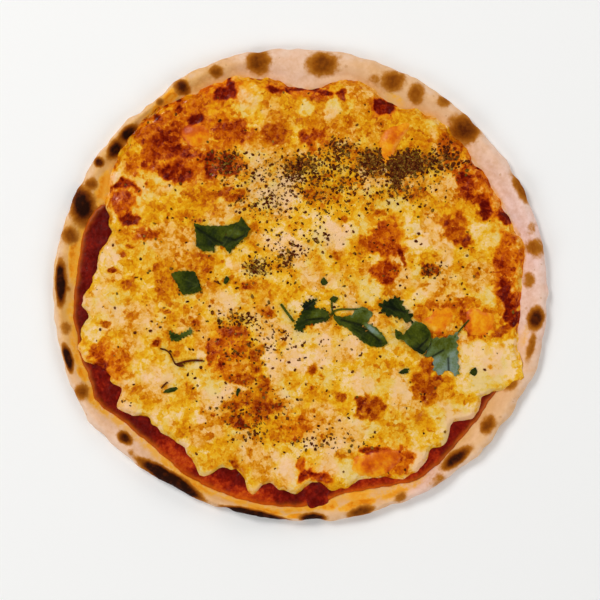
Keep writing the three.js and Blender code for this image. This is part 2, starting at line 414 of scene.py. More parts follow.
meeting = {
    # tongues and bays of the cheese's edge: degrees, spread, mm outwards
    "tongues": [
        (188.5, 2, -6), (196, 2, 3), (199.5, 3, 5), (205, 2.5, 4), (210.5, 1.8, -6), (214.5, 1.6, 1),
        (220.5, 2, -4), (243, 2, 3), (247, 2.2, -3), (256.5, 2.5, 3.5), (261, 3, -6), (267, 3, 5),
        (275, 2.5, -4.5), (290, 9, -7), (308, 2, -3), (322, 2, 2), (329, 3, -3.5), (142, 22, 0.8),
        (135, 9, 2), (105, 12, 0.4), (60, 18, 1.2), (26, 12, 0.8), (80, 8, 1.2), (0, 12, 1.4),
    ],
    "tuck": 2.4,    # how far the dough reaches under the cheese where they meet, mm
    "open": [(158, 224), (268, 334)],    # where sauce shows all along, degrees
    "spread": [(226.5, 6, 2), (185, 8, 1.5)],    # where the dish is wider: degrees, spread, mm
}


def cheeseEdge(angle):
    # the frame's outline with its tongues and bays
    edge = cheeseNodeEdge(angle)
    for at, spread, size in meeting["tongues"]:
        edge = edge + size * bell(turnedFrom(at, angle), spread)
    return edge


def covered(angle):
    # 1 where the cheese runs right up to the crust, 0 where sauce shows between them
    angle = np.asarray(angle) % 360
    closed = 1 - smooth(2.6, 4.6, sauceEdge(angle) - cheeseEdge(angle))
    for start, end in meeting["open"]:
        shown = smooth(start - 3, start + 3, angle) * (1 - smooth(end - 3, end + 3, angle))
        closed = closed * (1 - shown)
    return closed


def dishEdge(angle):
    # where the crust starts to rise
    edge = sauceEdge(angle) - meeting["tuck"] * covered(angle)
    for at, spread, size in meeting["spread"]:
        edge = edge + size * bell(turnedFrom(at, angle), spread)
    return edge


crust = {
    "steps": 720,
    "nominalDish": 140.0,   # the spun profile's dish and edge, before it takes the real outline
    "nominalEdge": 148.5,
    "crown": 0.62,          # where across the rim it is highest
    "heel": -62,            # how far round under its outer side the dough leaves the floor, degrees
    "foot": -0.16,          # where the rim starts to rise, as a share of the way to its crown
    "rimSteps": 26,         # faces across each side of the rim
    "rimHeight": 9.8,
    "puff": 0.9,            # how far a blister rises, mm
    "dent": 0.8,            # how uneven its outer side is, mm
    "floor": sauceLow - 0.3,
    # baked blisters on the rim: x, y, half length, half width, turn, darkness
    "blisters": [
        (58, 128, 7, 6.5, 0, 0.6), (73, 120, 5, 6, 0, 0.56), (90, 115, 4, 4, 0, 0.5),
        (103, 98, 9, 8, -40, 0.72), (-26, 140, 7, 7, 0, 0.66), (14, 139, 9.5, 7, 0, 0.64),
        (-53, 134, 4, 4, 0, 0.55), (-74, 124, 5, 4, -30, 0.8), (-88, 115, 2.2, 2.2, 0, 0.5),
        (-108, 95, 6.5, 3.6, 40, 0.93), (-116, 85, 4, 6, -30, 0.93), (-126, 77, 3, 3, 0, 0.85),
        (-131, 63, 4, 4, 0, 0.62), (-137, 50, 7, 11, 5, 1.0), (-145, 31, 5, 5, 0, 0.62),
        (-150, 1, 3, 13, 0, 1.15), (-147, -2, 2.5, 2.5, 0, 0.5), (-147, -27, 3, 4, 0, 0.42),
        (-145.5, -46, 2.4, 8, 15, 1.1), (-137, -67, 4, 5, 0, 0.6), (-110, -96, 5, 3, -40, 0.85),
        (-106, -105, 2.2, 2, 0, 0.42), (-81, -122, 20, 3.6, -32, 1.5), (-29, -143.5, 18, 2.1, -12, 1.4),
        (8, -146, 7, 2.4, 0, 1.2), (38, -142, 8, 3, 15, 0.7), (63, -133, 4, 2.5, 25, 0.45),
        (86, -122, 6, 3, 35, 0.35), (98, -109, 10, 3.6, 38, 0.9), (118, -88, 4, 6, -35, 0.62),
        (148, -21, 4.5, 7, -10, 0.86), (139, 60, 10, 4, -60, 0.55), (145, 35, 3, 4, 0, 0.3),
        (148, 23, 5, 5.5, 0, 0.5), (144, 3, 3.5, 5, 0, 0.45), (47, 129, 4, 4, 0, 0.36),
        (145, -39, 2.2, 9, -15, 0.5), (132, -62, 5, 4, 40, 0.5), (-100, -92, 5, 2.4, -40, 0.4),
    ],
    # paler pink stretches of the rim, partly dusted with flour and partly a painted highlight, which also
    # lightens the shaded top of the inner slope: degrees, spread, amount
    "flourAndHighlight": [(12, 27, 1.0), (94, 17, 0.42), (302, 8, 0.75), (221, 15, 0.4), (352, 10, 0.75)],
    # oil from the topping that has run on to the dough: x, y, half length, half width, turn, strength
    "oil": [
        (-142, 15, 3.4, 18, 0, 0.8), (-142, -22, 2, 14, 0, 0.7), (-136, -56, 3, 6, 30, 0.75),
        (-72, -123, 16, 2.4, -30, 0.7), (-25, -142, 14, 2, -8, 0.8), (0, -145, 10, 1.6, 3, 0.7),
        (36, -138, 12, 3, 14, 0.8), (18, -138, 6, 4, 0, 0.8), (60, 116, 9, 4, -40, 0.4),
        (-90, 108, 26, 4, 48, 0.8), (-122, 60, 6, 14, -20, 0.75), (141, -32, 3, 8, -15, 0.3),
        (144, -39, 1.6, 9, -15, 0.3), (-132, 38, 3, 8, -25, 0.8),
    ],
}


def crustTop(angle, radius):
    # height of the rim's upper side
    dish, edge = dishEdge(angle), crustEdge(angle)
    share = (radius - dish) / (edge - dish)
    rise = crust["rimHeight"] - crust["floor"]
    return crust["floor"] + rise * smooth(-0.1, crust["crown"], share)


def makeCrust():
    dish, edge = crust["nominalDish"], crust["nominalEdge"]
    inner = (edge - dish) * crust["crown"]
    outer = edge - dish - inner
    profile = [(radius, 0) for radius in (0, 50, 90, 115, 130, 138, 142)]
    for turn in np.linspace(crust["heel"], 90, crust["rimSteps"]):
        turned = math.radians(turn)
        height = 0 if turn == crust["heel"] else crust["rimHeight"] / 2 * (1 + math.sin(turned))
        profile.append((dish + inner + outer * math.cos(turned), height))
    for share in np.linspace(0.97, crust["foot"], crust["rimSteps"]):
        rise = float(smooth(crust["foot"], 1, share)) * (crust["rimHeight"] - crust["floor"])
        profile.append((dish + inner * share, crust["floor"] + rise))
    profile += [(136, crust["floor"]), (120, crust["floor"]), (0, crust["floor"])]
    mesh = spunMesh("crust", profile, crust["steps"])

    x, y, z = pointsOf(mesh).T
    angle, radius = polar(x, y)
    over = np.clip((radius - dish) / (edge - dish), 0, None)
    real = np.minimum(radius, dish) / dish * dishEdge(angle)
    real = real + over * (crustEdge(angle) - dishEdge(angle))
    # the outline itself is a little uneven
    uneven = lumps(x, y, 16, 2) * 0.9 + lumps(x, y, 5, 5) * 0.3
    real += smooth(0.4, 1, over) * (uneven - 0.7)
    x, y = fromPolar(angle, real)

    move = wobbled(x, y, 4.0, 0.7)
    char = 1.08 * strongest(x, y, move, crust["blisters"], 0.72)
    puffs = [(*blister[:5], 0.5 + 0.5 * blister[5]) for blister in crust["blisters"]]
    puff = strongest(x, y, move, puffs, 0.6)
    top = smooth(0.2, 0.8, (z - crust["floor"]) / 4)
    outside = smooth(0.35, 0.6, over)
    z = z + top * (lumps(x, y, 22, 7) * 0.9 + lumps(x, y, 8, 11) * 0.45 + puff * crust["puff"] - 0.3)
    side = smooth(0.5, 2.5, z) * outside * (1 - smooth(7, 10, z))
    dentX, dentY = fromPolar(angle, lumps(x, y, 9, 17, z) * crust["dent"] * side)
    x, y = x + dentX, y + dentY
    z = np.where((radius < dish - 2) & (z > 1), crust["floor"], z)
    placePoints(mesh, np.column_stack([x, y, z]))

    under = 1 - smooth(0.05, 0.9, z)
    beside = np.maximum(0, real - dishEdge(angle))
    around = angle % 360
    saucy = smooth(150, 166, around) * (1 - smooth(292, 306, around))
    width = 1.6 + (2.6 + 1.4 * lumps(x, y, 18, 19)) * saucy
    oil = bell(beside, width) * (0.35 + 0.4 * saucy + 0.3 * lumps(x, y, 14, 21))
    oil = np.maximum(oil, strongest(x, y, move, crust["oil"], 0.4))
    # paler pink stretches, where the rim is dusted with flour and where a highlight is painted in
    flourAndHighlight = np.max([amount * bell(turnedFrom(at, angle), spread) for at, spread, amount in crust["flourAndHighlight"]],
                    axis=0)
    golden = smooth(98, 112, around) * (1 - smooth(188, 206, around)) * (1 - 0.4 * smooth(4, 14, beside))
    golden = np.maximum(golden, 0.45 * (1 - smooth(0, 6, beside)))
    paint(mesh, "char", char * (1 - under))
    paint(mesh, "oil", oil * top + 0.6 * oil * (1 - top) * (1 - under))
    paint(mesh, "flourAndHighlight", flourAndHighlight)
    paint(mesh, "golden", golden * (0.8 + 0.3 * lumps(x, y, 9, 23)))
    paint(mesh, "under", under)
    paint(mesh, "outer", smooth(0.55, 0.85, over))
    finished(mesh, "stone_baked_crust", crustMaterial(), "crust", "crust")


def crustMaterial():
    material, tree, shader = newMaterial("stone baked crust", Roughness=0.85, Specular_IOR_Level=0.06)
    wide = useGroup(tree, mottle, Size=16.0, Shift=1.0)
    fine = useGroup(tree, mottle, Size=3.5, Shift=2.0)
    dough = mixed(tree, wide, colour(228, 176, 120), colour(242, 196, 148))
    dough = mixed(tree, times(tree, fine, 0.22), dough, colour(212, 154, 92))
    dough = mixed(tree, times(tree, painted(tree, "golden"), 0.8), dough,
                  mixed(tree, fine, colour(234, 178, 82), colour(218, 152, 54)))
    # pink laid over the dough: flour dust, and a painted highlight on the rim
    pink = mixed(tree, fine, colour(248, 214, 210), colour(230, 186, 172))
    dough = mixed(tree, times(tree, painted(tree, "flourAndHighlight"), 0.85), dough, pink)
    flour = times(tree, painted(tree, "outer"), stretched(tree, wide, 0.2, 0.9, 0.05, 0.4))
    dough = mixed(tree, flour, dough, colour(236, 212, 196))
    freckles = useGroup(tree, specks, Size=4.2, Amount=0.16, Radius=0.26)
    dough = mixed(tree, times(tree, freckles, 0.5), dough, colour(196, 140, 86))

    stain = times(tree, painted(tree, "oil"), stretched(tree, fine, 0.0, 0.8, 0.6, 1.0))
    oily = rampOf(tree, stain, [(0.0, colour(240, 188, 112)), (1.0, colour(206, 100, 4)),
                                (0.35, colour(244, 178, 58)), (0.7, colour(238, 146, 16))])
    dough = mixed(tree, stretched(tree, stain, 0.05, 0.45), dough, oily)

    burn = varied(tree, painted(tree, "char"), fine, 0.16)
    toast = rampOf(tree, burn, [(0.1, colour(208, 150, 80)), (1.0, colour(38, 12, 3)),
                                (0.3, colour(192, 122, 36)), (0.58, colour(148, 78, 6)),
                                (0.84, colour(88, 34, 2))])
    dough = mixed(tree, stretched(tree, burn, 0.05, 0.4), dough, toast)

    leopard = useGroup(tree, specks, Size=13.0, Amount=0.55, Radius=0.42)
    scorched = useGroup(tree, mottle, Size=7.0, Shift=5.0)
    base = mixed(tree, scorched, colour(214, 176, 132), colour(190, 140, 90))
    base = mixed(tree, times(tree, leopard, 0.85), base, colour(92, 58, 36))
    dough = mixed(tree, painted(tree, "under"), dough, base)
    feed(tree, shader.inputs["Base Color"], dough)
    feed(tree, shader.inputs["Roughness"], stretched(tree, stain, 0.2, 0.8, 0.78, 0.4))
    grain = useGroup(tree, bakedGrain, Size=2.4, Pits=0.25)
    addBump(tree, shader, grain, 0.4, 0.6)
    return material


makeCrust()
print("crust made")


sauce = {
    "steps": 560,
    "nominal": 140.0,
    "rounding": 3.0,
    # thinner, brighter sauce: x, y, half length, half width, turn, strength
    "bright": [
        (-78, -108, 14, 8, -38, 1.0), (-128, -66, 5, 6, 0, 0.2), (-30, -133, 16, 6, -10, 1.0),
        (-56, -124, 11, 6, -20, 0.85), (14, -137, 12, 4, 0, 0.7), (45, -127, 30, 5, 16, 0.85),
        (100, -92, 6, 10, -40, 0.3), (84, -110, 7, 5, 40, 0.5),
    ],
    "drawnIn": (290, 10, 3),    # where it ends short of the crust: degrees, spread, mm
    "oilyRim": 2.1,             # how far in the orange oil at its edge reaches, mm
}


def makeSauce():
    nominal, rounding = sauce["nominal"], sauce["rounding"]
    depth = sauceHigh - sauceLow
    profile = [(0, sauceLow), (100, sauceLow), (nominal - 1, sauceLow)]
    for share in np.linspace(1, 0, 8):
        height = sauceLow + depth * math.sqrt(1 - share * share)
        profile.append((nominal - rounding * (1 - share), height))
    profile += [(radius, sauceHigh) for radius in np.arange(nominal - rounding - 1, 108, -1.0)]
    profile += [(90, sauceHigh), (0, sauceHigh)]
    mesh = spunMesh("sauce", profile, sauce["steps"])
    x, y, z = pointsOf(mesh).T
    angle, radius = polar(x, y)
    reach = dishEdge(angle) + 0.3 + lumps(x, y, 9, 31) * 0.8 + lumps(x, y, 3.5, 33) * 0.4
    drawnAt, drawnSpread, drawn = sauce["drawnIn"]
    reach = reach - 2 * covered(angle) - drawn * bell(turnedFrom(drawnAt, angle), drawnSpread)
    radius = radius / nominal * reach
    x, y = fromPolar(angle, radius)
    top = smooth(sauceLow, sauceHigh, z)
    z = z + top * (lumps(x, y, 7, 35) * 0.35 + lumps(x, y, 2.8, 37) * 0.22)
    placePoints(mesh, np.column_stack([x, y, z]))
    move = wobbled(x, y, 8.0, 2)
    paint(mesh, "bright", strongest(x, y, move, sauce["bright"], 0.6))
    paint(mesh, "rim", bell(np.maximum(0, reach - radius), sauce["oilyRim"]))
    finished(mesh, "tomato_sauce_layer", sauceMaterial(), "sauce", "tomato_sauce")


def sauceMaterial():
    material, tree, shader = newMaterial("cooked tomato sauce", Roughness=0.42, Specular_IOR_Level=0.08,
                                         Coat_Weight=0.06, Coat_Roughness=0.25)
    wide = useGroup(tree, mottle, Size=9.0, Shift=7.0)
    fine = useGroup(tree, mottle, Size=2.2, Shift=8.0)
    light = plus(tree, times(tree, painted(tree, "bright"), 0.52), times(tree, wide, 0.3))
    light = plus(tree, light, times(tree, fine, 0.3))
    red = rampOf(tree, light, [(0.0, colour(76, 3, 0)), (1.0, colour(206, 84, 8)),
                               (0.3, colour(98, 8, 1)), (0.5, colour(124, 16, 1)),
                               (0.75, colour(170, 44, 4))])
    edge = times(tree, painted(tree, "rim"), 0.7)
    red = mixed(tree, edge, red, colour(214, 104, 8))
    feed(tree, shader.inputs["Base Color"], red)
    feed(tree, shader.inputs["Roughness"], stretched(tree, fine, 0.0, 1.0, 0.32, 0.55))
    pulp = useGroup(tree, bakedGrain, Size=1.8, Pits=0.5)
    addBump(tree, shader, pulp, 0.5, 0.6)
    return material


makeSauce()
print("sauce made")


cheese = {
    "cells": 296,           # along each side of the grid that becomes the round sheet
    "thickness": 2.1,
    "rounding": 4.2,        # width of the rolled edge
    # wide mounds and hollows: x, y, reach, mm
    "mounds": [
        (-40, -42, 21, 1.5), (-24, -76, 26, 0.9), (54, 22, 20, 1.1), (97, 35, 16, 1), (82, -60, 17, 1),
        (46, -76, 15, 0.9), (118, -55, 22, 1.2), (13, 35, 24, 0.8), (-107, 47, 14, 1.2), (-96, 31, 12, 1),
        (-112, -30, 18, 0.8), (8, -112, 20, 0.9), (-62, 68, 26, -0.8), (24, 86, 26, 0.7),
        (-70, -78, 20, 0.7),
    ],
    # broad stretches that are more or less browned: x, y, reach, amount
    "warmth": [
        (10, 118, 45, 0.11), (70, 108, 28, 0.09), (-95, 62, 26, 0.12), (-60, 60, 14, 0.22),
        (105, 58, 20, 0.16), (-105, 62, 14, 0.08), (0, 121, 24, 0.06), (120, -24, 14, 0.12),
        (136, -42, 8, 0.1), (-98, 32, 18, 0.09), (-85, 112, 20, 0.05), (28, -58, 34, -0.1),
        (60, -85, 26, -0.07), (-20, -50, 16, -0.06), (0, 25, 20, -0.08), (-95, -60, 22, 0.05),
        (-80, -10, 22, 0.05),
    ],
    "paleEdge": 0.16,    # how much paler its free edge is
    "sunk": 0.5,         # how far its foot reaches into the sauce, mm
    "underlap": 0.4,     # and into the dough, mm
    # where tomato oil has reddened it: x, y, half length, half width, turn, strength
    "reddened": [
        (-72, 98, 42, 28, -18, 0.5), (-82, 76, 28, 14, 0, 0.55), (-48, 124, 22, 9, -6, 0.9),
        (2, 122, 30, 4, -6, 0.7), (-110, 54, 12, 14, 0, 0.7), (-98, 31, 8, 7, 0, 0.4),
        (-122, -50, 14, 16, 0, 0.6), (53, 112, 9, 7, 0, 0.9), (104, 72, 22, 14, -52, 0.6),
        (124, 50, 14, 10, -58, 0.7), (132, 6, 11, 34, 4, 0.65), (55, 28, 14, 14, 0, 0.5),
        (52, 8, 10, 7, 0, 0.6), (98, 36, 10, 12, 0, 0.3), (103, -22, 30, 15, -10, 0.3),
        (-50, -44, 14, 18, 0, 0.4), (58, -110, 24, 11, 0, 0.7), (6, -120, 14, 10, 0, 1.0),
        (-42, 96, 12, 10, 0, 0.4), (8, 90, 8, 10, 0, 0.4), (36, 60, 8, 6, 0, 0.5),
        (0, -88, 14, 8, 0, 0.3),
    ],
    # how each part has browned: x, y, half length, half width, turn, browning, mm up.
    # Browning runs from 0, fresh cream, through yellow, gold and orange to 1, dark red.
    "patches": [
        (-75, 100, 36, 25, -20, 0.56, 0), (-85, 80, 26, 12, 0, 0.56, 0), (-100, 61, 22, 11, 0, 0.26, 0),
        (-87, 65, 5, 3, 0, 0.06, 0.2), (-115, 70, 4, 4, 0, 0.1, 0.2), (-107, 87, 6, 7, 0, 0.4, 0.5),
        (-92, 108, 9, 5, 20, 0.38, 0), (-80, 93, 14, 5, 10, 0.8, -0.3), (-78, 84, 16, 4, 0, 0.82, -0.3),
        (-66, 104, 5, 3, 0, 0.98, -0.4), (-47, 121, 7, 5, -10, 0.97, -0.5),
        (-44, 127, 3, 4, 0, 0.97, -0.4), (-14, 122, 7, 2.2, -10, 0.94, -0.3),
        (1, 123.5, 8, 1.2, 5, 0.9, -0.2), (14, 121.5, 8, 1.7, -14, 0.94, -0.3),
        (26, 118.5, 4, 2, -40, 0.86, -0.2), (-78, 70, 12, 5, 0, 0.88, -0.4),
        (-57, 76, 4, 10, 0, 0.86, -0.3), (-45, 76, 10, 7, 0, 0.78, -0.2),
        (-109, 60, 9, 6, -20, 0.93, -0.4), (-30, 120, 6, 8, 0, 0.12, 0.3),
        (-30, 105, 12, 8, 0, 0.24, 0.2), (-111, 50, 11, 10, 0, 0.08, 0.3), (-111, 50, 9, 8, 0, 0.64, 0.6),
        (-107, 41, 8, 3, 0, 0.92, -0.3), (-90, 105, 2.5, 2.5, 0, 0.95, 0), (-76, 110, 2, 2, 0, 0.95, 0),
        (-80, 101, 1.4, 1.4, 0, 0.9, 0), (-42, 97, 9, 8, 0, 0.68, 0.3), (-15, 96, 10, 5, 0, 0.68, 0.2),
        (7, 90, 6, 9, 0, 0.68, 0.2), (-8, 115, 9, 6, 0, 0.4, 0), (4, 112, 4, 5, 0, 0.1, 0.2),
        (20, 110, 6, 6, 0, 0.12, 0.2), (-45, 57, 12, 5, 0, 0.7, 0), (-15, 55, 14, 8, 0, 0.1, 0.1),
        (35, 124, 12, 5, -10, 0.36, 0), (53, 112, 7, 5, 0, 0.98, -0.4), (27, 120, 3, 3, 0, 0.86, 0),
        (103, 77, 17, 10, -52, 0.54, 0.2), (124, 52, 13, 8, -58, 0.56, 0.2), (95, 90, 12, 8, 0, 0.6, 0.2),
        (103, 65, 5, 8, 0, 0.84, -0.3), (112, 72, 5, 5, 0, 0.58, 0), (118, 66, 4, 4, 0, 0.58, 0),
        (117, 47, 4, 6, 0, 1.0, -0.5), (129, 43, 4, 5, 0, 1.0, -0.4), (110, 55, 6, 4, 0, 0.85, -0.2),
        (125, 55, 4, 6, 0, 0.4, 0), (113, 35, 6, 4, 0, 0.1, 0.2), (120, 28, 6, 5, 0, 0.12, 0.2),
        (105, 45, 5, 4, 0, 0.3, 0), (-97, 32, 6, 5, 0, 0.72, 0.4), (-107, 24, 3, 2, 0, 0.7, 0),
        (-120, 15, 8, 8, 0, 0.04, 0.4), (-125, -8, 6, 8, 0, 0.08, 0.2), (-129, -30, 7, 7, 0, 0.02, 0.5),
        (-122, -25, 3, 3, 0, 0.62, 0), (-118, 9, 3, 1.5, 0, 0.85, 0), (-109, 0, 4, 3, 0, 0.6, 0),
        (-90, -36, 3, 3, 0, 0.62, 0), (-66, -25, 3.5, 3.5, 0, 0.66, 0), (-85, -17, 4, 1.5, 0, 0.6, 0),
        (-85, 5, 8, 12, 0, 0.54, 0), (-65, 15, 14, 6, 0, 0.54, 0), (17, 30, 11, 10, 0, 0.04, 0.3),
        (33, 33, 5, 5, 0, 0.04, 0.2), (-42, -10, 6, 6, 0, 0.05, 0.2), (-2, -14, 6, 5, 0, 0.05, 0.2),
        (0, -35, 8, 6, 0, 0.06, 0.2), (14, -32, 6, 4, 0, 0.05, 0.2), (-27, 0, 12, 4, 0, 0.54, 0),
        (-21, -17, 7, 3, -30, 0.58, 0), (25, 18, 5, 3, 40, 0.58, 0), (-28, 37, 3, 3, 0, 0.6, 0),
        (60, 50, 14, 4, 0, 0.05, 0.2), (71, 36, 5, 5, 0, 0.05, 0.3), (55, 30, 10, 11, 0, 0.68, 0.4),
        (45, 27, 6, 6, 0, 0.68, 0.2), (52, 8, 9, 6, 0, 0.8, 0.2), (60, 17, 6, 4, 0, 0.38, 0.2),
        (64, 17, 7, 1.4, -74, 0.97, -0.5), (74, 25, 7, 5, 0, 0.05, 0.2), (97, 36, 8, 10, 0, 0.64, 0.4),
        (104, 27, 4, 4, 0, 0.86, 0), (82, 9, 7, 3.5, 0, 0.75, 0), (105, 8, 12, 9, 0, 0.35, 0.2),
        (131, 19, 9, 15, 0, 0.57, 0.2), (128, 5, 8, 13, 0, 0.6, 0.2), (139, 5, 2, 8, 0, 0.3, 0),
        (131, -9, 5, 12, 15, 0.86, -0.3), (134, -20, 6, 5, 0, 0.98, -0.3), (138, -8, 3, 5, 0, 0.6, 0),
        (118, -8, 6, 8, 0, 0.12, 0.3), (73, -10, 10, 6, 0, 0.08, 0.2), (45, -5, 8, 7, 0, 0.06, 0.2),
        (105, -9, 8, 1.5, 0, 0.66, 0), (88, -21, 16, 12, 0, 0.44, 0.8),
        # (75, -18), (84, -31) and (104, -22) darken the edges of the two tomato pieces here and the crease
        # between them: painted shade, with a small real dip in the crease
        (113, -24, 14, 12, -35, 0.46, 0.8), (75, -18, 5, 5, 0, 0.64, 0), (84, -31, 8, 3, 0, 0.62, 0),
        (104, -22, 2.5, 9, 10, 0.74, -0.2), (100, -12, 12, 2, 10, 0.62, 0),
        (126, -30, 8, 2.5, 30, 0.7, 0), (-118, -48, 12, 12, 0, 0.54, 0), (-128, -42, 5, 5, 0, 0.68, 0),
        (-125, -51, 5, 4, 0, 0.9, -0.3), (-105, -78, 6, 5, 0, 0.1, 0.2), (-97, -55, 10, 8, 0, 0.12, 0.2),
        (-80, -55, 8, 8, 0, 0.12, 0.2), (-64, -83, 4, 4, 0, 0.04, 0.2), (-62, 93, 11, 8, 0, 0.4, 0.4),
        (-41, -44, 18, 17, 0, 0.51, 0.4), (-38, -59, 11, 3, 0, 0.7, 0), (-57, -42, 3, 9, 0, 0.7, 0),
        (-42, -29, 10, 3, 0, 0.7, 0), (-50, -35, 4, 4, 0, 0.6, 0), (-27, -46, 4, 8, 0, 0.66, 0),
        (-30, -75, 20, 12, 0, 0.46, 0.2), (-20, -78, 9, 4, 0, 0.76, 0), (-41, -86, 6, 5, 0, 0.78, 0),
        (-42, -76, 6, 3, 0, 0.72, 0), (-23, -62, 3, 12, 0, 0.62, 0), (-55, -70, 8, 7, 0, 0.08, 0.2),
        (-18, -52, 6, 8, 0, 0.06, 0.2), (-44, -64, 12, 2.4, -4, 0.1, 0), (-66, -56, 6, 8, 0, 0.14, 0),
        (-19, -38, 4, 8, 0, 0.1, 0), (-66, -38, 4, 6, 0, 0.26, 0), (0, -45, 10, 8, 0, 0.05, 0.2),
        (-7, -67, 4, 4, 0, 0.03, 0.2), (-5, -60, 6, 5, 0, 0.34, 0), (15, -75, 15, 12, 0, 0.34, 0),
        (-50, -100, 12, 8, 0, 0.34, 0), (-25, -112, 10, 6, 0, 0.34, 0), (-5, -92, 13, 5, 15, 0.56, 0),
        (0, -86, 6, 4, 0, 0.56, 0), (-8, -115, 6, 8, 0, 0.06, 0.4), (-5, -127, 5, 5, 0, 0.08, 0.4),
        (4, -119, 7, 3, 30, 0.8, -0.2), (14, -121, 7, 2, -15, 0.74, -0.2), (1, -113, 3, 4, 0, 0.7, 0),
        (11, -116, 4, 3, 0, 0.2, 0.3), (-32, -105, 3, 3, 0, 0.66, 0), (-40, -112, 3, 3, 0, 0.66, 0),
        (7, -53, 3, 3, 0, 0.66, 0), (26, -70, 3, 3, 0, 0.66, 0), (45, -77, 10, 8, 0, 0.66, 0.3),
        (37, -75, 3, 5, 0, 0.92, -0.2), (79, -60, 8, 14, 0, 0.68, 0.3), (92, -63, 5, 8, 0, 0.5, 0),
        (114, -52, 18, 17, 0, 0.03, 0.5), (105, -80, 6, 5, 0, 0.03, 0.4), (130, -53, 6, 6, 0, 0.05, 0.3),
        (134, -40, 7, 7, 0, 0.03, 0.3), (92, -93, 5, 6, 0, 0.06, 0.4), (25, -110, 16, 8, 0, 0.2, 0.2),
        (30, -108, 9, 5, 0, 0.42, 0), (60, -112, 13, 9, 0, 0.62, 0), (75, -112, 5, 8, 0, 0.06, 0.4),
        (44, -104, 6, 2.5, 0, 0.97, -0.3), (27, -116, 7, 6, 0, 0.12, 0.4),
    ],
}


herbs = {
    "seed": 12,
    "length": (0.36, 1.26),    # half lengths, before the power that makes most of them small, mm
    "margin": 3,               # that they keep from the cheese's edge, mm
    # where they lie: x, y, half length, half width, turn, how many, how dusty the cheese is there
    "fields": [
        (72, 77, 30, 9, 0, 520, 0.5), (66, 76, 14, 7, 0, 420, 0.95), (61, 67, 5, 8, 0, 120, 0.95),
        (45, 76, 12, 10, 0, 260, 0.75), (0, 74, 12, 9, 0, 200, 0.6), (20, 77, 14, 9, 0, 100, 0.15),
        (28, 86, 12, 6, 0, 100, 0.4), (-4, 68, 46, 18, 0, 430, 0.3), (-22, 52, 20, 12, 0, 130, 0.25),
        (20, 50, 26, 14, 0, 70, 0.0), (17, 32, 18, 14, 0, 26, 0.0), (-27, 11, 9, 6, 0, 140, 0.55),
        (-9, 16, 6, 8, 0, 70, 0.4), (-6, 24, 24, 14, 0, 80, 0.0), (-38, -22, 18, 6, 0, 100, 0.2),
        (-41, -44, 22, 18, 0, 60, 0.0), (-30, -76, 28, 18, 0, 120, 0.1), (-15, -36, 18, 12, 0, 70, 0.0),
        (82, 9, 10, 5, 0, 46, 0.25), (15, -98, 34, 9, 0, 90, 0.0), (-46, 77, 14, 10, 0, 130, 0.25),
        (-30, -92, 16, 9, 0, 60, 0.1), (62, 60, 32, 14, 0, 170, 0.2), (95, 84, 12, 12, -40, 90, 0.2),
        (0, 0, 132, 120, 0, 700, 0.0),
    ],
}


def cheeseTop(x, y, detail=True):
    # height of the cheese away from its edge, mm
    x, y = np.atleast_1d(x).astype(float), np.atleast_1d(y).astype(float)
    top = np.full(len(x), cheeseLow + cheese["thickness"])
    for moundX, moundY, reach, size in cheese["mounds"]:
        top += size * bell(np.hypot(x - moundX, y - moundY), reach)
    for patch in cheese["patches"]:
        if patch[6]:
            top += patch[6] * (1 - smooth(0.3, 1.2, away(x, y, patch)))
    top += lumps(x, y, 14, 41) * 0.45
    if detail:
        top += lumps(x, y, 5, 43) * 0.28 + lumps(x, y, 2.4, 47) * 0.12
    return top


def browningAt(x, y):
    # how browned the cheese is at each place
    move = wobbled(x, y, 61.0, 3.0)
    tone = 0.3 + 0.12 * lumps(x, y, 17, 63) + 0.07 * lumps(x, y, 7, 65)
    for warmX, warmY, reach, amount in cheese["warmth"]:
        tone = tone + amount * bell(np.hypot(x - warmX, y - warmY), reach)
    for patch in cheese["patches"]:
        weight = spotWeight(x, y, move, patch, 0.24) * 0.9
        tone = tone * (1 - weight) + patch[5] * weight
    return tone


